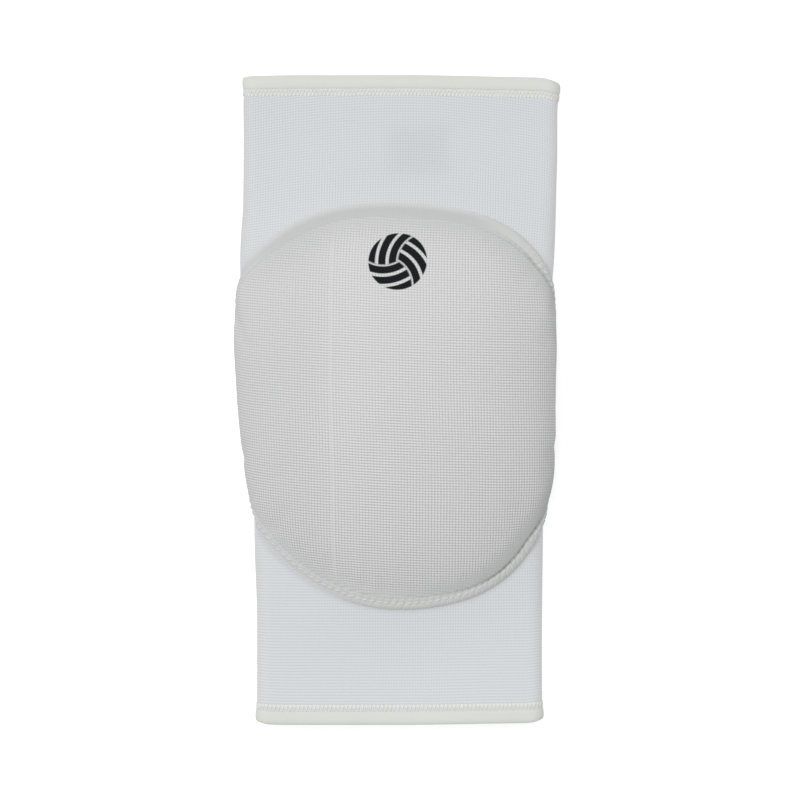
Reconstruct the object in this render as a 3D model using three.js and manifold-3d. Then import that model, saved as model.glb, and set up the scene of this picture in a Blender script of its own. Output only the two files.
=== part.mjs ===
// A pull-on knee pad for volleyball, lying on its back: an elastic knit sleeve with a rolled hem at each
// end, and a thick egg-shaped cushion that an overlocked seam holds to the front.
// Millimetres, +Z up. X runs across the sleeve, +Y towards the thigh end, +Z out of the front of the knee.
// The origin is under the middle of the pad, on the surface that it lies on.
import * as THREE from "three";
import { mergeVertices } from "three/addons/utils/BufferGeometryUtils.js";
import Module from "manifold-3d";

// The sleeve, hem to hem, as it lies flat.
const sleeveLength = 250;
const thighWidth = 121.2; // flat width at the thigh end
const calfWidth = 110.2; // flat width at the calf end
const taper = { from: -0.4, to: 0.64 }; // where calf width grows to thigh width, shares of half the length
const knitWall = 1.6;
const endHeight = 9.8; // height of the flattened tube at its two ends
const kneeHeight = 25; // and under the cushion, which holds the tube open
const kneeReach = 105; // from the knee to where the tube is flat again
const endCrown = 0.4; // how much higher the front's middle is than its folds, at the ends
const kneeCrown = 6; // and at the knee
const sideStep = 1.35; // the sleeve's middle line lies this far to the right of the pad's
const kneeBow = { depth: 1.6, at: 18, reach: 60 }; // and bows to the left under the cushion

// The rolled hems.
const hemDepth = 5.1; // along the leg
const hemProud = 0.6; // how far a hem stands out of the knit, inside and outside
const hemRise = 15; // the stretch of knit that rises to the middle of the hem
const cornerDroop = { thighRight: 2.6, thighLeft: 0.3, calfRight: 1.2, calfLeft: 0.8 }; // at the folds
const droopGirth = 20; // how far round the fold a corner droops
const droopLength = 80; // and how far down the sleeve

// The cushion's outline, measured round the sleeve and along the leg, out to the seam's outer edge.
const cushionLength = 156.4;
const cushionGirth = 137.4;
const widestAt = 0.572; // share of the length, from the calf end, where the cushion is widest
const cushionSquareness = 2.25; // 2 is an ellipse
const cushionLean = -0.016; // sideways per length, towards the thigh end
const cushionCentre = { girth: -1, along: 8.9 }; // where the widest line meets the middle
const cushionThickness = 16.5;
const rimThickness = 2.7; // at the seam
const crownPower = 3.2; // how flat the top is
const shoulder = { thigh: 1.5, calf: 1.9, side: 0.9 }; // how steep the rim rises, 1 is a straight slope

// The overlocked seam round the cushion.
const seamWidth = 3.6;
const seamHeight = 2.5;

const clearance = 0.3; // between neighbours

// Facets.
const archSteps = 9; // half of the front
const foldSteps = 8; // each folded side
const backSteps = 3; // half of the back
const sleeveSteps = 24; // along the sleeve
const hemSteps = 10; // round a hem's own section
const seamSteps = 84; // round the cushion
const cutDepth = 1.2; // how far a raw solid reaches into the sleeve before it is cut back

const wasm = await Module();
wasm.setup();

const clamp01 = (t) => Math.min(1, Math.max(0, t));
const smooth = (t) => clamp01(t) ** 2 * (3 - 2 * clamp01(t));
const bell = (t) => (Math.abs(t) < 1 ? (1 - t * t) ** 2 : 0);

const halfLength = sleeveLength / 2;
const thighEnd = halfLength - hemDepth; // where the knit meets the hem
const calfEnd = -halfLength + hemDepth;

// The sleeve's cross-section at y: a flat back, two round folds and an arched front, all tangent.
function sectionAt(y) {
  const knee = bell(y / kneeReach);
  const wide = smooth((y / halfLength - taper.from) / (taper.to - taper.from));
  const halfWidth = (calfWidth + (thighWidth - calfWidth) * wide) / 2;
  const height = endHeight + (kneeHeight - endHeight) * knee;
  const fold = (height - endCrown - (kneeCrown - endCrown) * knee) / 2;
  const flat = halfWidth - fold;
  const arch = (flat ** 2 + height ** 2 - 2 * height * fold) / (2 * (height - 2 * fold));
  const turn = Math.asin(flat / (arch - fold)); // where the arch runs into the fold
  const lift = hemProud * smooth((Math.abs(y) - thighEnd) / hemRise + 1);
  const middle = sideStep - kneeBow.depth * bell((y - kneeBow.at) / kneeBow.reach);
  return { flat, height, fold, arch, turn, lift, middle, archGirth: arch * turn };
}

// A corner's droop moves the ends of the sleeve down at its folds, least in the middle.
function droopAt(girth, y, section) {
  const side = section.archGirth + section.fold * (Math.PI / 2 - section.turn);
  const near = bell((Math.abs(girth) - side) / droopGirth);
  const right = girth > 0;
  if (y > 0) {
    const drop = right ? cornerDroop.thighRight : cornerDroop.thighLeft;
    return -drop * near * smooth((y - halfLength + droopLength) / droopLength);
  }
  const drop = right ? cornerDroop.calfRight : cornerDroop.calfLeft;
  return drop * near * smooth((-y - halfLength + droopLength) / droopLength);
}

// The point at a girth round from the middle of the front, at y, and out from the knit's outer face.
function onSleeve(girth, y, out) {
  const s = sectionAt(y);
  const round = Math.abs(girth);
  const foldEnd = s.archGirth + s.fold * (Math.PI - s.turn);
  let x = s.flat - (round - foldEnd);
  let z = -out;
  if (round <= s.archGirth) {
    x = (s.arch + out) * Math.sin(round / s.arch);
    z = s.height - s.arch + (s.arch + out) * Math.cos(round / s.arch);
  } else if (round < foldEnd) {
    const angle = s.turn + (round - s.archGirth) / s.fold;
    x = s.flat + (s.fold + out) * Math.sin(angle);
    z = s.fold + (s.fold + out) * Math.cos(angle);
  }
  return new THREE.Vector3(
    s.middle + Math.sign(girth) * x,
    y + droopAt(girth, y, s),
    s.lift + z,
  );
}

// The girths of one loop round the sleeve at y, from the middle of the back, by the right, to it again.
function girthsAt(y) {
  const s = sectionAt(y);
  const foldGirth = s.fold * (Math.PI - s.turn);
  const half = [];
  for (let i = 0; i < archSteps; i++) half.push((s.archGirth * (i + 0.5)) / archSteps);
  for (let i = 0; i <= foldSteps; i++) half.push(s.archGirth + (foldGirth * i) / foldSteps);
  for (let i = 0; i < backSteps; i++) {
    half.push(s.archGirth + foldGirth + (s.flat * (i + 0.5)) / backSteps);
  }
  return [...half.map((g) => -g).reverse(), ...half];
}

// A closed surface through closed loops of equal length, the last joined to the first.
function ringOf(loops) {
  const count = loops[0].length;
  const faces = [];
  loops.forEach((_, i) => {
    const here = i * count;
    const next = ((i + 1) % loops.length) * count;
    for (let j = 0; j < count; j++) {
      const k = (j + 1) % count;
      faces.push(here + j, here + k, next + k, here + j, next + k, next + j);
    }
  });
  return geometryOf(loops.flat(), faces);
}

// A closed surface through loops of equal length that starts and ends in a point.
function domeOf(first, loops, last) {
  const count = loops[0].length;
  const faces = [];
  for (let j = 0; j < count; j++) {
    const k = (j + 1) % count;
    faces.push(0, 1 + k, 1 + j);
    for (let i = 0; i < loops.length - 1; i++) {
      const here = 1 + i * count;
      const next = here + count;
      faces.push(here + j, here + k, next + k, here + j, next + k, next + j);
    }
    const end = 1 + (loops.length - 1) * count;
    faces.push(end + j, end + k, 1 + loops.length * count);
  }
  return geometryOf([first, ...loops.flat(), last], faces);
}

function geometryOf(points, faces) {
  const geometry = new THREE.BufferGeometry().setFromPoints(points);
  geometry.setIndex(faces);
  return geometry;
}

function solidOf(geometry) {
  const bare = new THREE.BufferGeometry();
  bare.setAttribute("position", geometry.getAttribute("position"));
  bare.setIndex(geometry.getIndex());
  const merged = mergeVertices(bare, 1e-4);
  return new wasm.Manifold(
    new wasm.Mesh({
      numProp: 3,
      vertProperties: merged.attributes.position.array,
      triVerts: new Uint32Array(merged.index.array),
    }),
  );
}

function geometryFrom(solid) {
  const mesh = solid.getMesh();
  const geometry = new THREE.BufferGeometry();
  geometry.setAttribute("position", new THREE.BufferAttribute(mesh.vertProperties, 3));
  geometry.setIndex(new THREE.BufferAttribute(mesh.triVerts, 1));
  return geometry;
}

// A ring round the sleeve with a section given as stations along it, each with its distance out.
function sleeveRing(stations) {
  return ringOf(stations.map(({ y, out }) => girthsAt(y).map((g) => onSleeve(g, y, out))));
}

const stationsAlong = (from, to, steps, out) =>
  Array.from({ length: steps + 1 }, (_, i) => ({ y: from + ((to - from) * i) / steps, out }));

function knitSleeve() {
  return sleeveRing([
    ...stationsAlong(calfEnd, thighEnd, sleeveSteps, 0),
    ...stationsAlong(thighEnd, calfEnd, sleeveSteps, -knitWall),
  ]);
}

// A rolled hem: a rounded band past the end of the knit, which its middle follows.
function rolledHem(knitEnd, direction) {
  const halfDepth = (hemDepth - clearance) / 2;
  const halfThick = knitWall / 2 + hemProud;
  const middle = knitEnd + direction * (clearance + halfDepth);
  const roundness = 2 / 3; // 1 is an ellipse, 0 a rectangle
  const stations = Array.from({ length: hemSteps }, (_, i) => {
    const angle = ((i + 0.5) / hemSteps) * 2 * Math.PI;
    const along = Math.sign(Math.cos(angle)) * Math.abs(Math.cos(angle)) ** roundness;
    const across = Math.sign(Math.sin(angle)) * Math.abs(Math.sin(angle)) ** roundness;
    return { y: middle - halfDepth * along, out: -knitWall / 2 + halfThick * across };
  });
  return sleeveRing(stations);
}

// The outline's point at an angle, moved outwards by a distance, in girth and length.
function outlineAt(angle, outwards) {
  const place = (a) => {
    const c = Math.cos(a);
    const s = Math.sin(a);
    const wide = cushionGirth / 2;
    const long = cushionLength * (s > 0 ? 1 - widestAt : widestAt);
    const n = cushionSquareness;
    const reach = (Math.abs(c / wide) ** n + Math.abs(s / long) ** n) ** (-1 / n);
    const along = reach * s;
    return new THREE.Vector2(
      cushionCentre.girth + reach * c + cushionLean * along,
      cushionCentre.along + along,
    );
  };
  const tangent = place(angle + 1e-3).sub(place(angle - 1e-3)).normalize();
  return place(angle).addScaledVector(new THREE.Vector2(tangent.y, -tangent.x), outwards);
}

const topShares = [1, 0.985, 0.95, 0.9, 0.83, 0.73, 0.6, 0.45, 0.3, 0.15]; // closer together at the rim
const underShares = [0.25, 0.5, 0.7, 0.8, 0.88, 0.94, 1];
const seamAngles = Array.from({ length: seamSteps }, (_, i) => (i / seamSteps) * 2 * Math.PI);

// A loop at a share of the way from the cushion's middle to its rim.
function cushionLoop(share, rimInset, outOf) {
  return seamAngles.map((angle) => {
    const rim = outlineAt(angle, -rimInset);
    const girth = cushionCentre.girth + share * (rim.x - cushionCentre.girth);
    const along = cushionCentre.along + share * (rim.y - cushionCentre.along);
    return onSleeve(girth, along, outOf(angle));
  });
}

// The rim rises at its steepest towards the calf and at its gentlest at the folded sides.
function cushionRise(share, angle) {
  const end = Math.sin(angle) > 0 ? shoulder.thigh : shoulder.calf;
  const steep = shoulder.side + (end - shoulder.side) * Math.sin(angle) ** 2;
  const rise = (1 - share ** crownPower) ** (1 / steep);
  return rimThickness + (cushionThickness - rimThickness) * rise;
}

// The clearance body is the sleeve's filled outer shape with the gap round it.
function clearanceBody() {
  const rows = stationsAlong(calfEnd, thighEnd, sleeveSteps, clearance);
  const loops = rows.map(({ y, out }) => girthsAt(y).map((g) => onSleeve(g, y, out)));
  const middleOf = (loop) =>
    loop.reduce((sum, p) => sum.add(p), new THREE.Vector3()).divideScalar(loop.length);
  return solidOf(domeOf(middleOf(loops[0]), loops, middleOf(loops.at(-1))));
}

// The cushion's dome out to a rim, before the sleeve's shape is cut out of its underside.
function rawCushion(rimInset) {
  const middle = (out) => onSleeve(cushionCentre.girth, cushionCentre.along, out);
  const top = topShares.map((share) => cushionLoop(share, rimInset, (a) => cushionRise(share, a)));
  const under = underShares.map((share) => cushionLoop(share, rimInset, () => -cutDepth));
  return solidOf(domeOf(middle(-cutDepth), [...under, ...top], middle(cushionThickness)));
}

// The seam's rounded section, from its outer edge inwards to past the cushion's rim, which cuts it.
function rawSeam() {
  const section = [
    { across: 0, out: -cutDepth },
    { across: 0, out: seamHeight * 0.3 },
    { across: seamWidth * 0.24, out: seamHeight * 0.82 },
    { across: seamWidth * 0.56, out: seamHeight },
    { across: seamWidth * 0.84, out: seamHeight * 0.86 },
    { across: seamWidth + clearance, out: seamHeight * 0.5 },
    { across: seamWidth + clearance, out: -cutDepth },
  ];
  const loops = section.map(({ across, out }) =>
    seamAngles.map((angle) => {
      const place = outlineAt(angle, -across);
      return onSleeve(place.x, place.y, out);
    }),
  );
  return solidOf(ringOf(loops));
}

const sleeveKnit = new THREE.MeshStandardMaterial({ color: 0xd6d8da, roughness: 0.9, metalness: 0 });
const coverKnit = new THREE.MeshStandardMaterial({ color: 0xcdcecd, roughness: 0.85, metalness: 0 });
const hemYarn = new THREE.MeshStandardMaterial({ color: 0xdddfd8, roughness: 0.8, metalness: 0 });
const seamThread = new THREE.MeshStandardMaterial({ color: 0xd0d2cf, roughness: 0.8, metalness: 0 });

const kneePad = new THREE.Group();
function addPiece(name, geometry, material) {
  const piece = new THREE.Mesh(geometry, material);
  piece.name = name;
  kneePad.add(piece);
}

const sleeveSpace = clearanceBody();
const kneeCushion = rawCushion(seamWidth + clearance).subtract(sleeveSpace);
const overlockSeam = rawSeam().subtract(sleeveSpace).subtract(rawCushion(seamWidth));
addPiece("knit_sleeve", knitSleeve(), sleeveKnit);
addPiece("thigh_hem", rolledHem(thighEnd, 1), hemYarn);
addPiece("calf_hem", rolledHem(calfEnd, -1), hemYarn);
addPiece("knee_cushion", geometryFrom(kneeCushion), coverKnit);
addPiece("cushion_seam", geometryFrom(overlockSeam), seamThread);

export default kneePad;
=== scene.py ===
# A pull-on volleyball knee pad lying on its back, seen from straight above.
# The model is worked out in millimetres and turned into metres when its meshes are made.
import math
import bpy
import numpy as np
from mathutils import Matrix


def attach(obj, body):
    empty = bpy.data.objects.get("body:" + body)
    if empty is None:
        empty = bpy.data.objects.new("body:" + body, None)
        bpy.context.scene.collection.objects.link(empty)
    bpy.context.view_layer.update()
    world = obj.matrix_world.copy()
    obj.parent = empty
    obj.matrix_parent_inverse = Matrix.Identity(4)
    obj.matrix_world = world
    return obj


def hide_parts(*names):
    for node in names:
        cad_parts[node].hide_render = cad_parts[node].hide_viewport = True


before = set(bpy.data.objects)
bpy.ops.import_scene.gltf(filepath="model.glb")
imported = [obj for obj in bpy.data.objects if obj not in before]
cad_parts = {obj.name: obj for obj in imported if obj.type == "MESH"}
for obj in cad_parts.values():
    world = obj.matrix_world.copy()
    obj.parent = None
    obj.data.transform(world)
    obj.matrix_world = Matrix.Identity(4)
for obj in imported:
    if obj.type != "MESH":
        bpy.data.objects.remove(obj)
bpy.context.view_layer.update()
mm = 0.001
scene = bpy.context.scene
print("frame loaded:", ", ".join(sorted(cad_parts)))


# the shape of the sleeve, which every piece follows

sleeve = {
    "length": 250.0,
    "thighWidth": 121.2,
    "calfWidth": 110.2,
    "taper": (-0.4, 0.64),  # where calf width grows to thigh width, shares of half the length
    "wall": 1.6,
    "endHeight": 9.8,
    "kneeHeight": 25.0,
    "kneeReach": 105.0,
    "endCrown": 0.4,  # how far the front arches, at the ends and under the cushion
    "kneeCrown": 6.0,
    "sideStep": 1.35,  # of the whole pad, to the right
    "kneeBow": (1.6, 18.0, 60.0),  # depth, place and reach of the bow to the left
    "bulges": {  # of the side folds: size, place and reach, with a size below 0 inwards
        "left": (
            (0.95, 53.0, 24.0),
            (1.05, -46.0, 40.0),
            (-0.32, 98.0, 36.0),
            (-0.35, 122.0, 9.0),
        ),
        "right": (
            (-0.5, 74.0, 24.0),
            (0.4, 21.0, 27.0),
            (-0.45, -100.0, 60.0),
            (0.6, 122.0, 9.0),
        ),
    },
    "hemDepth": 5.1,
    "hemProud": 0.6,  # how far the rolled hem stands off the knit
    "hemRise": 15.0,  # over what length the knit lifts off the ground towards it
    "droop": {  # how the ends draw in at the folds, over a wide girth and a narrow one
        "thighRight": ((0.93, 60.0), (1.4, 11.0)),
        "thighLeft": ((0.38, 22.0), (-0.25, 8.0)),
        "calfRight": ((0.72, 58.0), (0.8, 9.5)),
        "calfLeft": ((0.35, 14.0), (0.4, 8.0)),
    },
    "droopLength": 80.0,
    "waves": {  # heights, and over what lengths they come and go
        "slow": 0.14,
        "end": 0.45,
        "puckers": 0.07,
        "endReach": 45.0,
        "foldFade": 14.0,
        "cushionFade": 80.0,
    },
}
halfLength = sleeve["length"] / 2
knitEnd = halfLength - sleeve["hemDepth"]


# from 0 to 1, level at both ends
def smooth(t):
    t = np.clip(t, 0, 1)
    return t * t * (3 - 2 * t)


# 1 at 0, and 0 from 1 outwards
def bell(t):
    return np.where(np.abs(t) < 1, (1 - np.minimum(t * t, 1)) ** 2, 0.0)


# the sleeve across at y: an arched front, a round fold at each side and a flat back
def sectionAt(y):
    knee = bell(y / sleeve["kneeReach"])
    low, high = sleeve["taper"]
    wide = smooth((y / halfLength - low) / (high - low))
    halfWidth = (sleeve["calfWidth"] + (sleeve["thighWidth"] - sleeve["calfWidth"]) * wide) / 2
    left, right = (
        sum(size * bell((y - at) / reach) for size, at, reach in sleeve["bulges"][side])
        for side in ("left", "right")
    )
    halfWidth = halfWidth + (left + right) / 2
    height = sleeve["endHeight"] + (sleeve["kneeHeight"] - sleeve["endHeight"]) * knee
    crown = sleeve["endCrown"] + (sleeve["kneeCrown"] - sleeve["endCrown"]) * knee
    fold = (height - crown) / 2
    flat = halfWidth - fold
    arch = (flat**2 + height**2 - 2 * height * fold) / (2 * (height - 2 * fold))
    turn = np.arcsin(flat / (arch - fold))
    lift = sleeve["hemProud"] * smooth((np.abs(y) - knitEnd) / sleeve["hemRise"] + 1)
    depth, at, reach = sleeve["kneeBow"]
    middle = sleeve["sideStep"] - depth * bell((y - at) / reach) + (right - left) / 2
    return height, fold, flat, arch, turn, lift, middle


# how far the front waves up and down: slowly, more at the open ends, with puckers there
def wavesAt(girth, y):
    waves = sleeve["waves"]
    # the sines' lengths in millimetres don't fit each other, so nothing repeats
    slow = np.sin(girth / 17 + y / 31) + np.sin(y / 13 - girth / 27 + 1.3) * 0.7
    end = smooth((np.abs(y) - halfLength) / waves["endReach"] + 1)
    puckers = np.sin(girth / 1.9 + np.sin(girth / 7) * 1.5) * end**6
    bows = np.sin(girth / 21 + np.sign(y) * 0.8) + 0.4 * np.sin(girth / 8.3 + y / 60)
    calm = waves["slow"] * slow * (1 - end)
    return calm + waves["end"] * bows * end + waves["puckers"] * puckers


# a point on the sleeve: girth from the middle of the front, y, and the distance out of the knit
def onSleeve(girth, y, out):
    girth, y, out = np.broadcast_arrays(*(np.asarray(v, float) for v in (girth, y, out)))
    height, fold, flat, arch, turn, lift, middle = sectionAt(y)
    way = np.abs(girth)
    archEnd = arch * turn
    foldEnd = archEnd + fold * (math.pi - turn)
    archAngle = way / arch
    foldAngle = turn + (way - archEnd) / fold
    onArch = way <= archEnd
    litFold = ~onArch & (way < foldEnd)
    x = np.where(onArch, (arch + out) * np.sin(archAngle), flat - (way - foldEnd))
    z = np.where(onArch, height - arch + (arch + out) * np.cos(archAngle), -out)
    x = np.where(litFold, flat + (fold + out) * np.sin(foldAngle), x)
    z = np.where(litFold, fold + (fold + out) * np.cos(foldAngle), z)

    # the waves of the front, and how the ends draw in at the folds
    waves = sleeve["waves"]
    inFront = smooth((archEnd - way) / waves["foldFade"]) * (1 - bell(y / waves["cushionFade"]))
    z = z + wavesAt(girth, y) * inFront
    apart = way - archEnd - fold * (math.pi / 2 - turn)
    drawn = {
        corner: sum(size * bell(apart / reach) for size, reach in parts)
        for corner, parts in sleeve["droop"].items()
    }
    thigh = np.where(girth > 0, drawn["thighRight"], drawn["thighLeft"])
    calf = np.where(girth > 0, drawn["calfRight"], drawn["calfLeft"])
    fade = smooth((np.abs(y) - halfLength + sleeve["droopLength"]) / sleeve["droopLength"])
    shift = np.where(y > 0, -thigh, calf) * fade
    return np.stack([middle + np.sign(girth) * x, y + shift, lift + z], -1)


# the girths of a loop round the sleeve, the same count at every y
def girthsAt(y, archSteps, foldSteps, backSteps):
    _, fold, flat, arch, turn, *_ = sectionAt(np.asarray(y, float))
    archEnd = arch * turn
    foldEnd = archEnd + fold * (math.pi - turn)
    half = [archEnd * (i + 0.5) / archSteps for i in range(archSteps)]
    half += [archEnd + (foldEnd - archEnd) * i / foldSteps for i in range(foldSteps + 1)]
    backEnd = flat - 0.02  # the two halves meet in a strip too narrow to be seen
    half += [foldEnd + backEnd * (i + 1) / backSteps for i in range(backSteps)]
    half = np.array(half)
    return np.concatenate([-half[::-1], half])


# meshes

def makePiece(name, points, faces, attributes=None):
    mesh = bpy.data.meshes.new(name)
    mesh.from_pydata((np.asarray(points) * mm).tolist(), [], [tuple(f) for f in faces])
    mesh.validate()
    mesh.shade_smooth()
    for label, values in (attributes or {}).items():
        layer = mesh.attributes.new(label, "FLOAT_VECTOR", "POINT")
        layer.data.foreach_set("vector", (np.asarray(values) * mm).ravel())
    piece = bpy.data.objects.new(name, mesh)
    scene.collection.objects.link(piece)
    return piece


# faces between closed loops of equal length, with ring also from the last to the first
def loopFaces(loops, count, ring=False, start=0):
    faces = []
    for i in range(loops if ring else loops - 1):
        here, following = start + i * count, start + (i + 1) % loops * count
        for j in range(count):
            k = (j + 1) % count
            faces.append((here + j, here + k, following + k, following + j))
    return faces


# thin tubes along many paths at once: paths is number, points, 3, and ups points off the cloth
def threadMesh(paths, ups, radius, sides=6, closed=False):
    if closed:
        ahead = np.roll(paths, -1, 1) - np.roll(paths, 1, 1)
    else:
        ahead = np.gradient(paths, axis=1)
    ahead /= np.linalg.norm(ahead, axis=2, keepdims=True)
    side = np.cross(ahead, ups)
    side /= np.linalg.norm(side, axis=2, keepdims=True)
    up = np.cross(side, ahead)
    angles = np.arange(sides) * 2 * math.pi / sides
    ring = (
        paths[:, :, None]
        + radius * np.cos(angles)[:, None] * side[:, :, None]
        + radius * np.sin(angles)[:, None] * up[:, :, None]
    )
    number, points = paths.shape[:2]
    faces = []
    for n in range(number):
        start = n * points * sides
        faces += loopFaces(points, sides, closed, start)
        if not closed:
            faces.append(tuple(start + j for j in reversed(range(sides))))
            faces.append(tuple(start + (points - 1) * sides + j for j in range(sides)))
    return ring.reshape(-1, 3), faces


def applyModifiers(piece):
    bpy.context.view_layer.objects.active = piece
    depsgraph = bpy.context.evaluated_depsgraph_get()
    mesh = bpy.data.meshes.new_from_object(piece.evaluated_get(depsgraph))
    piece.modifiers.clear()
    old = piece.data
    piece.data = mesh
    bpy.data.meshes.remove(old)
    mesh.name = piece.name


def pointsOf(piece):
    values = np.empty(len(piece.data.vertices) * 3)
    piece.data.vertices.foreach_get("co", values)
    return values.reshape(-1, 3) / mm


def setPoints(piece, points):
    piece.data.vertices.foreach_set("co", (points * mm).ravel())
    piece.data.update()


# materials: a Wire is a socket, and arithmetic on it adds Math nodes

class Wire:
    def __init__(self, look, socket):
        self.look = look
        self.socket = socket

    def math(self, operation, *values):
        return self.look.node("ShaderNodeMath", {"operation": operation}, *values)

    def __add__(self, other):
        return self.math("ADD", self, other)

    def __radd__(self, other):
        return self.math("ADD", other, self)

    def __sub__(self, other):
        return self.math("SUBTRACT", self, other)

    def __rsub__(self, other):
        return self.math("SUBTRACT", other, self)

    def __mul__(self, other):
        return self.math("MULTIPLY", self, other)

    def __rmul__(self, other):
        return self.math("MULTIPLY", other, self)

    def __truediv__(self, other):
        return self.math("DIVIDE", self, other)

    def __pow__(self, other):
        return self.math("POWER", self, other)

    def __neg__(self):
        return self.math("MULTIPLY", self, -1.0)

    def __abs__(self):
        return self.math("ABSOLUTE", self)

    def fract(self):
        return self.math("FRACT", self)

    def cos(self):
        return self.math("COSINE", self)

    def sqrt(self):
        return self.math("SQRT", self)

    def atLeast(self, low):
        return self.math("MAXIMUM", self, low)

    def atMost(self, high):
        return self.math("MINIMUM", self, high)

    def rise(self, low, high):  # 0 below low, 1 above high, smooth between
        settings = {"interpolation_type": "SMOOTHSTEP"}
        return self.look.node("ShaderNodeMapRange", settings, self, low, high, 0.0, 1.0)


class Look:
    def __init__(self, name):
        self.material = bpy.data.materials.new(name)
        self.material.use_nodes = True
        self.tree = self.material.node_tree
        self.tree.nodes.clear()

    # one node: its type, its settings, then its sockets in order, or by name
    def node(self, kind, settings=None, *values, output=0, **named):
        made = self.tree.nodes.new(kind)
        for key, value in (settings or {}).items():
            setattr(made, key, value)
        sockets = [s for s in made.inputs if s.enabled]
        for socket, value in zip(sockets, values):
            self.feed(socket, value)
        for key, value in named.items():
            self.feed(next(s for s in sockets if s.name == key.replace("_", " ")), value)
        outputs = [s for s in made.outputs if s.enabled]
        return Wire(self, outputs[output]) if outputs else made

    def feed(self, socket, value):
        if isinstance(value, Wire):
            self.tree.links.new(value.socket, socket)
        else:
            socket.default_value = value

    def place(self, label):  # a mesh attribute in metres, as three wires in millimetres
        where = self.node("ShaderNodeAttribute", {"attribute_name": label}, output=1)
        parts = self.node("ShaderNodeSeparateXYZ", None, where).socket.node
        return [Wire(self, parts.outputs[i]) / mm for i in range(3)]

    def noise(self, scale, detail=2.0, roughness=0.5):  # scale is lumps to the metre
        where = self.node("ShaderNodeTexCoord", None, output=3)
        named = {"Vector": where, "Scale": scale, "Detail": detail, "Roughness": roughness}
        return self.node("ShaderNodeTexNoise", None, **named)

    def fuzz(self, scale):
        return self.noise(scale, detail=3.0, roughness=0.7)

    def mix(self, share, first, second):  # colours
        settings = {"data_type": "RGBA"}
        return self.node("ShaderNodeMix", settings, share, first, second)

    def bump(self, height, distance, strength):
        named = {"Strength": strength, "Distance": distance, "Height": height}
        return self.node("ShaderNodeBump", None, **named)

    def finish(self, colour, roughness, normal, sheen=0.15, specular=0.25):
        surface = self.node(
            "ShaderNodeBsdfPrincipled",
            None,
            Base_Color=colour,
            Roughness=roughness,
            Normal=normal,
            Sheen_Weight=sheen,
            Sheen_Roughness=0.5,
            Specular_IOR_Level=specular,
        )
        self.node("ShaderNodeOutputMaterial", None, surface)
        return self.material


# knitted loops: rows and columns say how dark it is between the courses and between the wales
def knitHeight(wale, course, lean, rows, columns):
    roundness = 0.6
    across = abs((wale.fract() - 0.5) * 2)
    legs = ((course + across * lean) * (2 * math.pi)).cos() * 0.5 + 0.5
    loops = 1 - across * across
    between = 1 - rows * (1 - legs**roundness)
    return between * (1 - columns * (1 - loops**roundness))


# a colour times a factor and lighter by more, with its alpha at 1
def tinted(colour, factor, more):
    return [c * factor + more for c in colour[:3]] + [1]


# the camera straight above, and plain soft light

camera = {  # sees a view so wide at a level a little over the floor
    "x": 1.35,
    "height": 3000.0,
    "level": 7.0,
    "view": 308.0,
    "sensor": 36.0,
}
lights = {
    "sky": 0.67,
    "key": {"strength": 1.01, "angle": 34.0, "from": (-0.31, 0.36, 0.88)},  # a wide, even light
    "floorColour": (0.9, 0.9, 0.9, 1.0),
    "floorGlow": 0.46,  # lifts the floor to a plain white, with little shadow left
    "floorHalf": 6000.0,
}


def setStage():
    data = bpy.data.cameras.new("camera")
    data.sensor_width = camera["sensor"]
    data.lens = camera["sensor"] * (camera["height"] - camera["level"]) / camera["view"]
    eye = bpy.data.objects.new("camera", data)
    eye.location = (camera["x"] * mm, 0, camera["height"] * mm)
    scene.collection.objects.link(eye)
    scene.camera = eye

    world = bpy.data.worlds.new("studio")
    world.use_nodes = True
    background = world.node_tree.nodes["Background"]
    background.inputs["Color"].default_value = (1, 1, 1, 1)
    background.inputs["Strength"].default_value = lights["sky"]
    scene.world = world
    scene.view_settings.view_transform = "Standard"

    key = lights["key"]
    lamp = bpy.data.lights.new("key", "SUN")
    lamp.energy = key["strength"]
    lamp.angle = math.radians(key["angle"])
    lampObject = bpy.data.objects.new("key", lamp)
    lampObject.location = key["from"]
    away = -lampObject.location
    lampObject.rotation_euler = away.to_track_quat("-Z", "Y").to_euler()
    scene.collection.objects.link(lampObject)

    half = lights["floorHalf"]
    corners = [(-half, -half, 0), (half, -half, 0), (half, half, 0), (-half, half, 0)]
    floor = makePiece("floor", corners, [(0, 1, 2, 3)])
    look = Look("paleFloor")
    surface = look.node(
        "ShaderNodeBsdfPrincipled",
        None,
        Base_Color=lights["floorColour"],
        Roughness=0.9,
        Specular_IOR_Level=0.0,
        Emission_Color=(1, 1, 1, 1),
        Emission_Strength=lights["floorGlow"],
    )
    look.node("ShaderNodeOutputMaterial", None, surface)
    floor.data.materials.append(look.material)
    floor.visible_diffuse = False  # the glow stays off the part


setStage()
print("camera, light and floor set")


# the cushion's outline on the sleeve, out to the seam's outer edge

outline = {
    "length": 156.4,
    "girth": 137.4,
    "widestAt": 0.572,
    "squareness": 2.25,
    "lean": -0.016,
    "centre": (-1.0, 8.9),
    "swells": (
        (3.0, 45.0, 34.0),
        (1.0, 20.0, 20.0),
        (0.7, 122.0, 35.0),
        (0.8, 145.0, 18.0),
        (1.2, 157.0, 24.0),
        (-1.0, 246.0, 24.0),
        (1.2, 298.0, 20.0),
        (1.5, 328.0, 21.0),
    ),
}


# outwards by some millimetres at some angles, over so many degrees each way
def swellAt(angle):
    total = 0
    for size, at, reach in outline["swells"]:
        apart = np.mod(np.degrees(angle) - at + 180, 360) - 180
        total = total + size * bell(apart / reach)
    return total


def outlinePoint(angle):
    c, s = np.cos(angle), np.sin(angle)
    wide = outline["girth"] / 2
    long = outline["length"] * np.where(s > 0, 1 - outline["widestAt"], outline["widestAt"])
    n = outline["squareness"]
    reach = (np.abs(c / wide) ** n + np.abs(s / long) ** n) ** (-1 / n) + swellAt(angle)
    along = reach * s
    x, y = outline["centre"]
    return np.stack([x + reach * c + outline["lean"] * along, y + along], -1)


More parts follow.
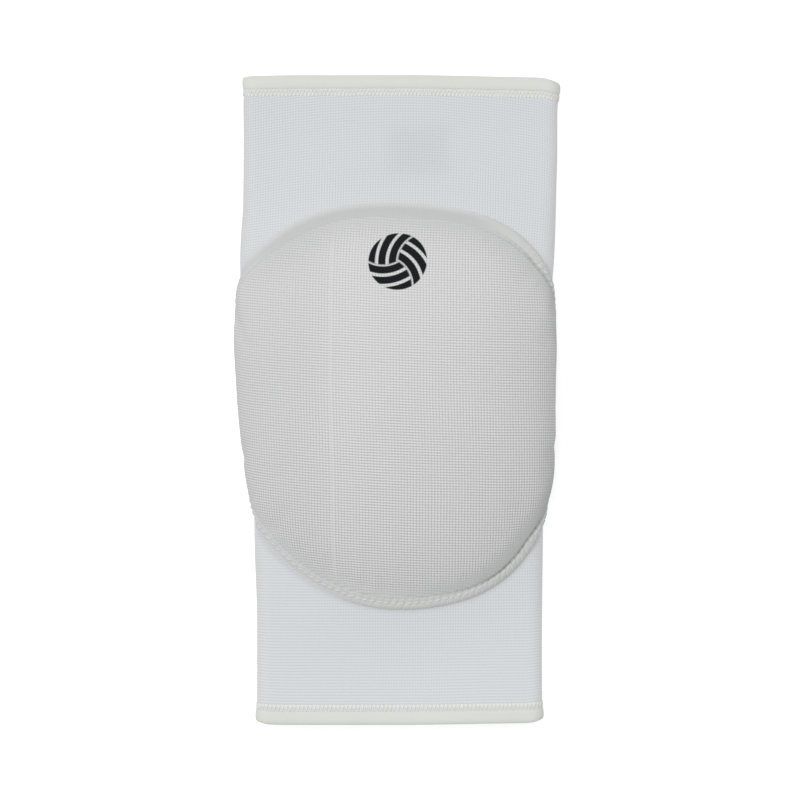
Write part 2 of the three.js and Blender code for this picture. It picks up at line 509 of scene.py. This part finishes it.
# the same, moved outwards square to the outline
def outlineAt(angle, outwards):
    little = 1e-3
    tangent = outlinePoint(angle + little) - outlinePoint(angle - little)
    tangent /= np.linalg.norm(tangent, axis=-1, keepdims=True)
    away = np.stack([tangent[..., 1], -tangent[..., 0]], -1)
    return outlinePoint(angle) + away * np.asarray(outwards)[..., None]


# angles that divide the outline into equal lengths, and its whole length
def evenAngles(count):
    angles = np.linspace(0, 2 * math.pi, 4001)
    points = outlinePoint(angles)
    steps = np.linalg.norm(np.diff(points, axis=0), axis=1)
    travelled = np.concatenate([[0], np.cumsum(steps)])
    return np.interp(np.arange(count) / count * travelled[-1], travelled, angles), travelled[-1]


# the knit sleeve, with the rolled hems' values

hem = {
    "steps": (60, 22, 36),  # round the sleeve: half the front, one fold and half the back
    "round": 26,  # points round the roll
    "squareness": 2 / 3,  # of the roll, which 1 makes round
    "overlap": 0.35,  # of the roll on the sleeve
    "corner": (0.5, 7.0),  # how far the roll draws in at the side folds, and over what girth
    "stitch": {"thigh": 1.46, "calf": 1.54},
    "zone": 2.6,  # how far the stitches reach onto the sleeve
    "threadRadius": 0.24,
    "ribs": 0.55,
    "turn": (2.8, 4.9),  # past the knit's end, where the cloth folds over and gets painted shade
    "colour": (0.765, 0.780, 0.735, 1),
    "shade": (0.690, 0.704, 0.662, 1),
    "threadColour": (0.820, 0.832, 0.806, 1),
    "threadShade": (0.770, 0.782, 0.756, 1),
}

sleeveKnit = {
    "rows": 150,  # of points along the outside, and along the inside
    "innerRows": 50,
    "steps": (40, 14, 24),  # round the sleeve: half the front, one fold and half the back
    "course": 1.09,
    "tighter": 0.00022,  # how much closer the courses lie towards the thigh
    "wale": 1.03,
    "arching": 0.0014,  # how the courses bow upwards, fully from archFrom to the thigh end
    "archFrom": 80.0,
    "wander": {"courses": 0.5, "wales": 0.6},
    "lean": 0.2,
    "thigh": (20, 90),  # from the middle of the pad to the thigh end
    "beside": {"apart": (26, 2), "girth": (-50, 0)},  # the wales stand out beside the cushion
    # how dark it gets between courses and between wales: everywhere, then what the thigh
    # end, the strip beside the cushion and patches add to it
    "courseDepth": (0.62, 0.05, -0.05, -0.3),
    "waleDepth": (0.3, 0.5, 0.4, 0.6),
    "yarn": (0.752, 0.772, 0.788, 1),
    "gap": (0.575, 0.595, 0.616, 1),
    "hemZone": (0.830, 0.842, 0.815, 1),
    "lighter": {  # by how much, in shares of the way from gap to yarn
        "all": -0.15,
        "clouds": 0.1,
        "fuzz": 0.2,
        "thigh": 0.05,
        "highlightAboveCushion": 0.08,
        "fold": 0.1,
        "thighFold": 0.1,
    },
    # how far the painted highlight on the sleeve above the cushion reaches
    "highlightAboveCushion": 12.0,
    "fold": {"from": 50.0, "thighFrom": 55.0, "over": 5.0},  # of the painted light on the right fold
    "insidePatch": {  # behind the knit, and hardly shows through it
        "at": (7.0, 96.0),
        "half": (11.0, 9.0),
        "fade": (6, -5),
        "uneven": 8.4,
        "shade": 0.24,
    },
    "contactShade": {"shade": 0.6, "apart": (2.4, -0.6), "gone": (30, 75)},  # painted shade on the sleeve beside the cushion
    "bump": 0.12,
    "flat": (0.246, 0.24),  # the cut, in metres
}


def insideShade(girth, along, patchy, patch):
    (x, y), (halfWidth, halfHeight) = patch["at"], patch["half"]
    uneven = patchy * patch["uneven"]
    inWidth = (abs(girth - x) - halfWidth + uneven).rise(*patch["fade"])
    inHeight = (abs(along - y) - halfHeight - uneven).rise(*patch["fade"])
    return inWidth * inHeight * patch["shade"]


def sleeveKnitLook(knit):
    look = Look("sleeveKnit")
    girth, along, apart = look.place("place")
    drift = look.noise(60.0) - 0.5
    patchy = look.noise(35.0, detail=1.0) - 0.5
    fuzz = look.fuzz(900.0)
    thigh = along.rise(*knit["thigh"])

    # the loops
    bow = (along / knit["archFrom"]).atLeast(0).atMost(1) * knit["arching"]
    level = along + girth * girth * bow + drift * knit["wander"]["courses"]
    course = level * (1 + level * knit["tighter"]) / knit["course"]
    wale = (girth + drift * knit["wander"]["wales"]) / knit["wale"]
    beside = apart.rise(*knit["beside"]["apart"]) * girth.rise(*knit["beside"]["girth"])
    depths = [
        base + thigh * atThigh + beside * atCushion + patchy * inPatches
        for base, atThigh, atCushion, inPatches in (knit["courseDepth"], knit["waleDepth"])
    ]
    height = knitHeight(wale, course, knit["lean"], *depths)

    # lighter and darker places
    lighter, fold = knit["lighter"], knit["fold"]
    clouds = look.noise(14.0, detail=3.0) * lighter["clouds"]
    tone = clouds + fuzz * lighter["fuzz"] + lighter["all"]
    # painted highlight on the sleeve just above the cushion, towards the thigh
    highlightAboveCushion = apart.rise(knit["highlightAboveCushion"], 0)
    tone = tone + thigh * (lighter["thigh"] + highlightAboveCushion * lighter["highlightAboveCushion"])
    # painted light on the right fold, with more of it towards the thigh
    foldFrom = thigh * (fold["thighFrom"] - fold["from"]) + fold["from"]
    litFold = (girth - foldFrom).rise(0, fold["over"])
    tone = tone + litFold * (lighter["fold"] + thigh * lighter["thighFold"])
    tone = tone - insideShade(girth, along, patchy, knit["insidePatch"])
    colour = look.mix(height + tone, knit["gap"], knit["yarn"])
    # painted shade on the sleeve where the cushion stands over it, fading towards the thigh
    contactShade = knit["contactShade"]
    standsOver = apart.rise(*contactShade["apart"]) * (1 - along.rise(*contactShade["gone"]))
    colour = look.mix(standsOver * contactShade["shade"], colour, knit["gap"])
    zoneFrom, soft = knitEnd - hem["zone"], 0.2
    inHem = abs(along).rise(zoneFrom - soft, zoneFrom + soft)
    colour = look.mix(inHem, colour, knit["hemZone"])
    normal = look.bump(height + fuzz * 0.3, knit["bump"] * mm, strength=0.7)
    return look.finish(colour, 0.92, normal, sheen=0.6)


# how far a place on the sleeve is from the cushion's outline, less than 0 under the cushion
def apartFrom(girth, along):
    dx, dy = girth - outline["centre"][0], along - outline["centre"][1]
    angle = np.arctan2(dy, dx - outline["lean"] * dy)
    edge = outlinePoint(angle) - outline["centre"]
    return np.hypot(dx, dy) - np.hypot(edge[..., 0], edge[..., 1])


def makeSleeve():
    knit = sleeveKnit
    rows = np.linspace(-knitEnd, knitEnd, knit["rows"])
    inner = np.linspace(knitEnd, -knitEnd, knit["innerRows"])
    loops, places = [], []
    for y, out in [(y, 0.0) for y in rows] + [(y, -sleeve["wall"]) for y in inner]:
        girths = girthsAt(y, *knit["steps"])
        apart = apartFrom(girths, y)
        loops.append(onSleeve(girths, y, out))
        places.append(np.stack([girths, np.full_like(girths, y), apart], -1))
    count = len(loops[0])
    faces = loopFaces(len(loops), count, ring=True)
    attributes = {"place": np.concatenate(places)}
    piece = makePiece("sleeveCloth", np.concatenate(loops), faces, attributes)
    piece.data.materials.append(sleeveKnitLook(knit))
    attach(piece, "root")
    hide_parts("knit_sleeve")
    return piece


sleeveCloth = makeSleeve()
print("sleeve made:", len(sleeveCloth.data.vertices), "points")


# the overlocked seam

seam = {
    "steps": 10,  # of the padded edge, for each stitch
    "section": (  # shares of the width, closer where the edge bends more
        *(0, 0.01, 0.04, 0.1, 0.18, 0.28, 0.4, 0.52),
        *(0.63, 0.72, 0.79, 0.85, 0.91, 0.98, 1.08),
    ),
    "below": (1.06, 0.5, 0.02),  # and back again, just inside the sleeve's knit
    "belowDepth": 0.1,
    "width": 4.1,
    "topExtra": 1.2,  # wider at the thigh side
    "height": 1.8,
    "profile": (1.9, 2.2, 0.7),  # of the firm edge: how steep, how round and how full
    "pitch": 2.9,
    "slant": 0.6,  # of the stitches, in stitches over the whole width
    "relief": (0.189, 0.42),  # of the puckers, where the edge is gentle and where it is firm
    "crease": (0.87, 0.15, 0.8),  # beside the cushion: place, reach and depth
    "loop": {"radius": 0.19, "reach": 0.78, "round": 0.4},
    "needle": {"radius": 0.3, "at": (0.56, 0.68), "length": 0.6, "round": 0.6},
    "uneven": {"seed": 7, "place": 0.08, "reach": 0.05, "needle": 0.02},
    "sink": {"plain": 0.4, "crease": 0.12, "hidden": 0.85},  # into the cloth
    "sides": {  # the angle that each faces, and the cosines from there where it begins and is full
        "top": (math.pi / 2, 0.45, 0.85),
        "firm": (-0.35, -0.1, 0.35),
        "creased": (-0.15, 0.25, 0.6),
    },
    "plainTurn": 0.5,  # how far on to the left of the thigh side the edge stays plain
    "cloth": (0.687, 0.698, 0.688, 1),
    "clothShade": (0.597, 0.608, 0.600, 1),
    "blend": (0.672, 0.690, 0.704, 1),  # the sleeve's tint, where the edge has no step
    "shade": {"factor": 0.92, "gap": -0.04, "yarn": 0.02},  # on the thigh side and in the crease
    "knit": {"courses": 0.35, "wales": 0.8, "shows": 0.7},  # the cover's, on the thigh side
    "thread": (0.785, 0.795, 0.780, 1),
    "threadShade": (0.685, 0.694, 0.681, 1),
}


def sideOf(angle, name):
    towards, begins, full = seam["sides"][name]
    return smooth((np.cos(angle - towards) - begins) / (full - begins))


# 1 along the thigh side of the outline, where the edge is wide and plain
def topness(angle):
    return sideOf(angle, "top")


# 1 where the stitches sink into the cloth: along the thigh side and on to the left of it
def plainness(angle):
    return np.maximum(topness(angle), topness(angle - seam["plainTurn"]))


# 1 along the calf and the right, where the edge stands off the sleeve, 0 where it slopes gently
def firmness(angle):
    return sideOf(angle, "firm")


# 1 along the right, where there is a deep crease beside the cushion
def creaseAt(angle):
    return sideOf(angle, "creased")


def seamWidthAt(angle):
    return seam["width"] + seam["topExtra"] * topness(angle)


# the height of the padded edge: across goes from the outer edge, 0, to the cushion, 1
def seamRise(angle, across, stitch):
    firm, crease, rim = firmness(angle), creaseAt(angle), cushion["rim"]
    steep, roundness, fullness = seam["profile"]
    rounded = 1 - np.abs(np.minimum(across * steep, 1) - 1) ** roundness
    step = np.clip(rounded, 0, 1) ** fullness
    climb = smooth((across - 0.5) / 0.5) * (1 - crease)
    high = seam["height"] + (rim - seam["height"]) * climb
    # one round swelling between each two stitches, above and below their mean height
    puckers = np.abs(np.sin((stitch - across * seam["slant"]) * math.pi)) ** 0.7 - 0.6
    uneven = np.sin(stitch * 1.37) * np.sin(stitch * 0.53 + 1) * 0.25  # never repeats
    place, reach, depth = seam["crease"]
    groove = depth * crease * bell((across - place) / reach) * (1 - puckers * 0.2 + uneven)
    gentle = rim * smooth(across * 0.96)
    low, full = seam["relief"]
    relief = (low + (full - low) * firm) * (1 - topness(angle)) * puckers * step
    offSleeve = 0.05
    return offSleeve + gentle + (high * step - groove - gentle) * firm + relief


# the padded cover

cushion = {
    "grid": 40,  # faces along each side of the cover's middle
    "core": 0.72,  # how far out that goes, and then come the rings
    "rings": 14,
    "thickness": 16.5,
    "rim": 2.7,  # its height at the seam
    "rimTurn": ((0.25, 1.9), (0.5, 1.0), (0.4, 0.5)),  # under the seam: outwards, off the sleeve
    "back": 0.3,  # off the sleeve
    "crownPower": 3.2,
    "shoulder": {"thigh": 1.5, "calf": 1.9, "left": 1.08, "right": 1.3},
    "slack": 1.5,  # how much thinner the cover starts before it is blown up
    "pressure": 600.0,
    "stiffness": 12.0,
    "swell": 3.0,  # the furthest that a point may move
    "frames": 20,
    "course": 1.04,
    "wale": 1.14,
    "tilt": 0.0507,  # of the courses, up to the left
    "sag": 0.0004,  # and how they bow
    "wander": {"courses": 0.35, "wales": 0.45},
    "lean": 0.12,
    "courseDepth": (0.85, -0.5),  # how dark it gets between them: everywhere, and in patches
    "waleDepth": (0.82, 0.8),
    "toRight": 0.14 / 60,  # what each millimetre to the right adds between the wales
    "clear": {"middle": 1.12, "more": 0.33, "over": 70.0, "left": 0.7},  # relief, up to the calf
    "yarn": (0.819, 0.822, 0.817, 1),
    "gap": (0.513, 0.520, 0.517, 1),
    "lighter": {"all": -0.19, "clouds": 0.08, "fuzz": 0.34},
    "line": {"at": -24.8, "edge": (0.8, 0.2), "level": 0.62, "share": 0.5},  # one wale stands out
    # beside the seam the knit is plainer, with painted shade that grows towards the right
    "besideSeam": {"edge": (4.4, 0.8), "level": 0.48, "right": 0.12, "share": 0.62},
    # shades: where each begins and is full, and how dark it gets
    "leftShade": {"at": -45.0, "reach": (28, 6), "shade": 0.12},
    "thighShade": {"along": (35, 70), "edge": (16, 2), "shade": 0.12},
    "lowShade": {"from": 25.0, "over": 45.0, "down": 0.35, "edge": (8, 0), "shade": 0.8},
    "rightShade": {"girth": (50, 64), "at": -32.0, "reach": (26, 6), "shade": 0.4},
    "bump": 0.22,
    "ink": (0.005, 0.006, 0.008, 1),
    "mark": {
        "at": (0.3, 52.9),
        "radius": 11.2,
        "line": 0.75,
        "bend": 1.0,
        "panels": (0.0, 0.36, 0.72),
        "soft": 0.04,  # edges, in shares of the radius
    },
}


def cushionRise(share, angle):
    shoulder = cushion["shoulder"]
    end = np.where(np.sin(angle) > 0, shoulder["thigh"], shoulder["calf"])
    side = shoulder["left"] + (shoulder["right"] - shoulder["left"]) * (np.cos(angle) + 1) / 2
    steep = side + (end - side) * np.sin(angle) ** 2
    rise = (1 - share ** cushion["crownPower"]) ** (1 / steep)
    return cushion["rim"] + (cushion["thickness"] - cushion["slack"] - cushion["rim"]) * rise


# a printed ball: three curves meet in the middle, and each third has panels along its curve
def ballMark(look, girth, along, mark):
    x = (girth - mark["at"][0]) / mark["radius"]
    y = (along - mark["at"][1]) / mark["radius"]
    line = mark["line"] / mark["radius"]
    edge, bend = mark["soft"], mark["bend"]
    reaches = []
    for turn in (0, 120, 240):
        cx, cy = bend * math.cos(math.radians(turn)), bend * math.sin(math.radians(turn))
        reaches.append(((x - cx) ** 2 + (y - cy) ** 2).sqrt() - bend)
    ink = ((x * x + y * y).sqrt() - 1).rise(edge / 2, -edge / 2)
    for this, following in zip(reaches, reaches[1:] + reaches[:1]):
        third = this.rise(-edge, edge) * following.rise(edge, -edge)
        for panel in mark["panels"]:
            gap = (abs(this - panel) - line / 2).rise(edge, 0.0)
            ink = ink * (1 - gap * third)
    return ink


def coverLook(knit):
    look = Look("coverKnit")
    girth, along, edge = look.place("place")
    drift = look.noise(45.0) - 0.5
    patchy = look.noise(30.0, detail=1.0) - 0.5
    fuzz = look.fuzz(1100.0)

    # the loops, which stand out more towards the calf
    wander = knit["wander"]
    level = along + girth * knit["tilt"] - girth * girth * knit["sag"]
    course = (level + drift * wander["courses"]) / knit["course"]
    wale = (girth + drift * wander["wales"]) / knit["wale"]
    rows = knit["courseDepth"][0] + patchy * knit["courseDepth"][1]
    columns = knit["waleDepth"][0] + patchy * knit["waleDepth"][1] + girth * knit["toRight"]
    height = knitHeight(wale, course, knit["lean"], rows, columns)
    clear = knit["clear"]
    toCalf = ((girth * clear["left"] - along) / clear["over"]).atLeast(-1).atMost(1)
    height = 0.5 + (height - 0.5) * (toCalf * clear["more"] + clear["middle"])
    line = knit["line"]
    onLine = abs(girth - line["at"]).rise(*line["edge"])
    height = height + (line["level"] - height) * onLine * line["share"]
    plain = knit["besideSeam"]  # a strip that is plainer and a little darker, and towards the right wider and darker still with painted shade
    toRight = girth.rise(-40, 40)
    inStrip = (edge - toRight * 0.8).rise(*plain["edge"]) * plain["share"]
    height = height + (plain["level"] - toRight * plain["right"] - height) * inStrip

    # lighter and darker places
    lighter, left, thigh = knit["lighter"], knit["leftShade"], knit["thighShade"]
    clouds = look.noise(12.0, detail=3.0) * lighter["clouds"]
    tone = clouds + fuzz * lighter["fuzz"] + lighter["all"]
    tone = tone - abs(girth - left["at"]).rise(*left["reach"]) * left["shade"]
    tone = tone - along.rise(*thigh["along"]) * edge.rise(*thigh["edge"]) * thigh["shade"]
    colour = look.mix(height + tone, knit["gap"], knit["yarn"])
    low, right = knit["lowShade"], knit["rightShade"]
    atLow = ((girth - along * low["down"] - low["from"]) / low["over"]).atLeast(0).atMost(1)
    atRight = girth.rise(*right["girth"]) * abs(along - right["at"]).rise(*right["reach"])
    shade = atLow * edge.rise(*low["edge"]) * low["shade"] + atRight * right["shade"]
    colour = look.mix(shade.atMost(1), colour, knit["gap"])

    ink = ballMark(look, girth, along, knit["mark"])
    colour = look.mix(ink * (0.98 + height * 0.02), colour, knit["ink"])
    normal = look.bump(height + fuzz * 0.25, knit["bump"] * mm, strength=0.7)
    return look.finish(colour, 0.92 - ink * 0.25, normal, sheen=0.02, specular=0.06)


# the cover laid flat, a square grid in its middle and rings round it: each point's share of the
# way out and its angle, the faces, and the points of the outer ring
def coverNet():
    count = cushion["grid"] + 1
    side = np.linspace(-1, 1, count)
    u, v = np.meshgrid(side, side)
    x, y = u * np.sqrt(1 - v * v / 2), v * np.sqrt(1 - u * u / 2)
    shares, angles = np.hypot(x, y).ravel() * cushion["core"], np.arctan2(y, x).ravel()
    at = np.arange(count**2).reshape(count, count)
    corners = np.stack([at[:-1, :-1], at[:-1, 1:], at[1:, 1:], at[1:, :-1]], -1)
    faces = corners.reshape(-1, 4).tolist()
    loop = np.concatenate([at[0, :-1], at[:-1, -1], at[-1, :0:-1], at[:0:-1, 0]])
    loopAngles = angles[loop]
    grow = np.sin(np.linspace(0, math.pi / 2, cushion["rings"] + 1)[1:])
    for share in cushion["core"] + (1 - cushion["core"]) * grow:
        ring = len(shares) + np.arange(len(loop))
        shares = np.append(shares, np.full(len(loop), share))
        angles = np.append(angles, loopAngles)
        faces += joinLoops(loop, ring)
        loop = ring
    return shares, angles, faces, loop


def joinLoops(inner, outer):
    after = np.roll(inner, -1), np.roll(outer, -1)
    return np.stack([inner, outer, after[1], after[0]], -1).tolist()


# how far it is over the cover from its middle to a place, measured straight across
def overCover(girth, along):
    steps = np.linspace(0, 1, 50)[:, None]
    dx, dy = steps * girth - outline["centre"][0], along - outline["centre"][1]
    angle = np.arctan2(dy, dx - outline["lean"] * dy)
    edge = np.linalg.norm(outlinePoint(angle) - outline["centre"], axis=-1) - seamWidthAt(angle)
    shares = np.clip(np.hypot(dx, dy) / edge, 0, 1)
    path = onSleeve(steps * girth, along, cushionRise(shares, angle))[..., [0, 2]]
    return np.sign(girth) * np.linalg.norm(np.diff(path, axis=0), axis=-1).sum(0)


def makeCushion():
    shares, angles, faces, rim = coverNet()
    centre = np.array(outline["centre"])
    edge = outlineAt(angles, -seamWidthAt(angles))
    flat = centre + shares[:, None] * (edge - centre)
    toEdge = np.linalg.norm(edge - flat, axis=1)
    points = [onSleeve(flat[:, 0], flat[:, 1], cushionRise(shares, angles))]
    over = overCover(flat[:, 0], flat[:, 1])
    places = [np.column_stack([over, flat[:, 1], toEdge])]
    total, loop = len(shares), rim

    # the rim turns under the seam, and then the back of the cover lies on the sleeve
    for outwards, out in cushion["rimTurn"]:
        place = outlineAt(angles[rim], outwards - seamWidthAt(angles[rim]))
        points.append(onSleeve(place[:, 0], place[:, 1], out))
        places.append(np.column_stack([over[rim], place[:, 1], np.zeros(len(rim))]))
        ring = total + np.arange(len(rim))
        faces += joinLoops(loop, ring)
        total, loop = total + len(rim), ring
    back = total + np.arange(len(shares))
    points.append(onSleeve(flat[:, 0], flat[:, 1], cushion["back"]))
    places.append(places[0])
    faces += joinLoops(loop, back[rim])
    faces += [[back[i] for i in reversed(f)] for f in faces if max(f) < len(shares)]

    points = np.concatenate(points)
    piece = makePiece("cushionCover", points, faces, {"place": np.concatenate(places)})
    pins = piece.vertex_groups.new(name="held")
    pins.add(rim.tolist() + list(range(len(shares), len(points))), 1.0, "REPLACE")
    blowUp(piece, points)
    # the places are subdivided like the points, so that the knit runs as smoothly as the cloth
    helper = makePiece("places", np.concatenate(places), faces)
    for one in (piece, helper):
        finer = one.modifiers.new("smooth", "SUBSURF")
        finer.levels = finer.render_levels = 1
        applyModifiers(one)
    piece.data.attributes["place"].data.foreach_set("vector", (pointsOf(helper) * mm).ravel())
    bpy.data.meshes.remove(helper.data)
    piece.data.shade_smooth()
    piece.data.materials.append(coverLook(cushion))
    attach(piece, "root")
    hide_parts("knee_cushion")
    return piece


# the cover is cloth, held at the seam and blown up a little from inside
def blowUp(piece, before):
    normals = np.empty(len(before) * 3)
    piece.data.vertex_normals.foreach_get("vector", normals)
    normals = normals.reshape(-1, 3)
    cloth = piece.modifiers.new("cloth", "CLOTH")
    settings = cloth.settings
    settings.quality = 6
    settings.mass = 0.3
    settings.tension_stiffness = settings.compression_stiffness = cushion["stiffness"]
    settings.shear_stiffness = settings.bending_stiffness = cushion["stiffness"] / 2
    settings.vertex_group_mass = "held"
    settings.use_pressure = True
    settings.uniform_pressure_force = cushion["pressure"]
    settings.effector_weights.gravity = 0
    cloth.point_cache.frame_start = 1
    cloth.point_cache.frame_end = cushion["frames"]
    for number in range(1, cushion["frames"] + 1):
        scene.frame_set(number)
    applyModifiers(piece)
    scene.frame_set(1)
    moved = normals * np.sum((pointsOf(piece) - before) * normals, 1, keepdims=True)
    far = np.linalg.norm(moved, axis=1, keepdims=True)
    top = float(pointsOf(piece)[:, 2].max())
    print(f"cover moved {far.max():.2f} mm at most, its top is at {top:.2f} mm")
    setPoints(piece, before + moved * np.minimum(1, cushion["swell"] / np.maximum(far, 1e-6)))


cushionCover = makeCushion()
print("cushion made:", len(cushionCover.data.vertices), "points")


def threadLook(name, colour, shade):
    look = Look(name)
    fuzz = look.fuzz(1500.0)
    tone = look.noise(250.0)
    colour = look.mix(fuzz * 0.6 + tone * 0.6 - 0.1, shade, colour)
    normal = look.bump(fuzz, 0.1 * mm, strength=0.7)
    return look.finish(colour, 0.9, normal)


# the angles of every stitch, as a function of its number
def stitchAngles():
    _, length = evenAngles(8)
    count = round(length / seam["pitch"])
    fine, _ = evenAngles(count * 16)
    fine = np.append(fine, 2 * math.pi)
    return count, lambda order: np.interp(order % count, np.arange(count * 16 + 1) / 16, fine)


# the padded edge takes the sleeve's tint where it slopes gently into it
def edgeLook():
    look = Look("seamCloth")
    across, gentle, side = look.place("place")
    top, crease = side.atLeast(0), (-side).atLeast(0)
    girth, along, _ = look.place("knit")
    knit, shade = seam["knit"], seam["shade"]
    wale, course = girth / cushion["wale"], along / cushion["course"]
    loops = knitHeight(wale, course, cushion["lean"], knit["courses"], knit["wales"])
    fuzz = look.fuzz(1500.0)
    tone = look.noise(250.0) - (0.6 - loops) * top * knit["shows"]
    colour = look.mix(fuzz * 0.6 + tone * 0.6 - 0.1, seam["clothShade"], seam["cloth"])
    gap = tinted(seam["clothShade"], shade["factor"], shade["gap"])
    yarn = tinted(seam["clothShade"], shade["factor"], shade["yarn"])
    inShade = top * across.rise(0.0, 0.5) * 0.8 + crease * (0.5 + across * 0.5)
    colour = look.mix(inShade.atMost(1), colour, look.mix(loops, gap, yarn))
    blended = (across + top * 0.35).rise(0.8, -0.2) * gentle
    colour = look.mix(blended, colour, seam["blend"])
    normal = look.bump(fuzz, 0.1 * mm, strength=0.7)
    return look.finish(colour, 0.9, normal)


# how high a thread's middle lies along its path: its ends sink into the cloth
def threadRise(t, kind):
    return kind["radius"] * (np.sin(math.pi * t) ** kind["round"] * 1.3 - 0.9)


def makeSeam():
    count, angleAt = stitchAngles()

    def onEdge(order, across, over):
        angle = angleAt(order)
        place = outlineAt(angle, -across * seamWidthAt(angle))
        return onSleeve(place[..., 0], place[..., 1], seamRise(angle, across, order) + over)

    # the padded edge under the threads
    order = np.arange(count * seam["steps"]) / seam["steps"]
    angles = angleAt(order)
    section = seam["section"] + seam["below"]
    loops, knit = [], []
    for i, across in enumerate(section):
        place = outlineAt(angles, -across * seamWidthAt(angles))
        onTop = i < len(seam["section"])
        out = seamRise(angles, across, order) if onTop else -seam["belowDepth"]
        loops.append(onSleeve(place[:, 0], place[:, 1], out))
        knit.append(np.column_stack([place, np.zeros(len(place))]))
    faces = loopFaces(len(loops), len(order), ring=True)
    acrosses = np.repeat(section, len(order))
    gentle = np.tile(1 - firmness(angles), len(loops))
    side = np.tile(topness(angles) - creaseAt(angles), len(loops))
    places = np.column_stack([acrosses, gentle, side])
    attributes = {"place": places, "knit": np.concatenate(knit)}
    band = makePiece("seamEdge", np.concatenate(loops), [f[::-1] for f in faces], attributes)
    band.data.materials.append(edgeLook())

    # a slanted loop over the edge and a needle stitch along it, for each stitch that shows
    loop, needle, uneven, sinks = seam["loop"], seam["needle"], seam["uneven"], seam["sink"]
    rng = np.random.default_rng(uneven["seed"])
    stitches = np.arange(count)
    stitches = stitches[plainness(angleAt(stitches)) < sinks["hidden"]][:, None]
    stitches = stitches + rng.normal(0, uneven["place"], stitches.shape)
    sink = plainness(angleAt(stitches)) * sinks["plain"]
    t = np.linspace(0, 1, 11)  # along each thread
    across = 0.02 + (loop["reach"] + rng.normal(0, uneven["reach"], stitches.shape)) * t
    order = stitches + across * seam["slant"]
    over = threadRise(np.clip(t * 1.25, 0, 1), loop) - sink  # the last fifth is in the cloth
    loopPaths = onEdge(order, across, over), onEdge(order, across, over + 1)
    first, last = needle["at"]
    across = first + (last - first) * t + rng.normal(0, uneven["needle"], stitches.shape)
    order = stitches + 0.5 + across * seam["slant"] + needle["length"] * (t - 0.5)
    over = threadRise(t, needle) - sink - creaseAt(angleAt(stitches)) * sinks["crease"]
    needlePaths = onEdge(order, across, over), onEdge(order, across, over + 1)
    threads = []
    for name, (paths, above), radius in (
        ("seamLoops", loopPaths, loop["radius"]),
        ("seamStitches", needlePaths, needle["radius"]),
    ):
        points, faces = threadMesh(paths, above - paths, radius)
        piece = makePiece(name, points, faces)
        piece.data.materials.append(seamThread)
        threads.append(piece)
    for piece in [band] + threads:
        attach(piece, "root")
    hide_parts("cushion_seam")
    return [band] + threads


seamThread = threadLook("seamThread", seam["thread"], seam["threadShade"])
seamPieces = makeSeam()
print("seam made:", sum(len(p.data.polygons) for p in seamPieces), "faces")


# the rolled hems

def hemLook():
    look = Look("hemRoll")
    girth, along, _ = look.place("place")
    fuzz = look.fuzz(1200.0)
    tone = look.noise(30.0)
    ribs = (girth / hem["ribs"] * (2 * math.pi)).cos() * 0.5 + 0.5
    # painted shade on the outer part of the roll, where it turns down
    outer = (abs(along) - knitEnd).rise(*hem["turn"])
    shade = tone * 0.6 + fuzz * 0.4 + ribs * 0.15 - outer * 0.4
    colour = look.mix(shade, hem["shade"], hem["colour"])
    normal = look.bump(fuzz * 0.6 + ribs * 0.4, 0.08 * mm, strength=0.6)
    return look.finish(colour, 0.88, normal)


def makeHem(name, node, direction):
    halfDepth = (sleeve["hemDepth"] + hem["overlap"]) / 2
    halfThick = sleeve["wall"] / 2 + sleeve["hemProud"]
    middle = direction * (knitEnd - hem["overlap"] + halfDepth)
    drawn, reach = hem["corner"]
    loops, places = [], []
    for i in range(hem["round"]):
        angle = (i + 0.5) / hem["round"] * 2 * math.pi
        c, s = math.cos(angle), math.sin(angle)
        y = middle - direction * halfDepth * math.copysign(abs(c) ** hem["squareness"], c)
        out = -sleeve["wall"] / 2 + halfThick * math.copysign(abs(s) ** hem["squareness"], s)
        girths = girthsAt(y, *hem["steps"])
        _, fold, _, arch, turn, *_ = sectionAt(np.asarray(y))
        side = arch * turn + fold * (math.pi / 2 - turn)
        outer = smooth(direction * (y - middle) / halfDepth)
        y = y - direction * drawn * outer * bell((np.abs(girths) - side) / reach)
        loops.append(onSleeve(girths, y, out))
        places.append(np.stack([girths, y, np.zeros_like(girths)], -1))
    faces = loopFaces(len(loops), len(loops[0]), ring=True)
    if direction > 0:
        faces = [f[::-1] for f in faces]
    piece = makePiece(name, np.concatenate(loops), faces, {"place": np.concatenate(places)})
    piece.data.materials.append(hemMaterial)
    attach(piece, "root")
    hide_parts(node)
    return piece


# a zigzag of thread beside the hem, all round the sleeve
def makeHemStitches(name, pitch, direction):
    overRoll = 0.1
    edge = direction * (knitEnd + overRoll)
    _, fold, flat, arch, turn, *_ = sectionAt(np.asarray(edge, float))
    whole = 2 * float(arch * turn + fold * (math.pi - turn) + flat)
    perStitch = 8  # points
    count = round(whole / pitch) * perStitch
    girth = (np.arange(count) + 0.5) / count * whole - whole / 2
    swing = np.abs((np.arange(count) / perStitch % 1) * 2 - 1)
    y = edge - direction * swing * (hem["zone"] + overRoll)
    out = 0.02 + 0.1 * np.sin(swing * math.pi) ** 0.5
    paths = onSleeve(girth, y, out)[None]
    ups = onSleeve(girth, y, out + 1)[None] - paths
    points, faces = threadMesh(paths, ups, hem["threadRadius"], closed=True)
    piece = makePiece(name, points, faces)
    piece.data.materials.append(hemThread)
    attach(piece, "root")
    return piece


hemMaterial = hemLook()
hemThread = threadLook("hemThread", hem["threadColour"], hem["threadShade"])
hemPieces = [
    makeHem("thighHemRoll", "thigh_hem", 1),
    makeHem("calfHemRoll", "calf_hem", -1),
    makeHemStitches("thighHemStitches", hem["stitch"]["thigh"], 1),
    makeHemStitches("calfHemStitches", hem["stitch"]["calf"], -1),
]
print("hems made")
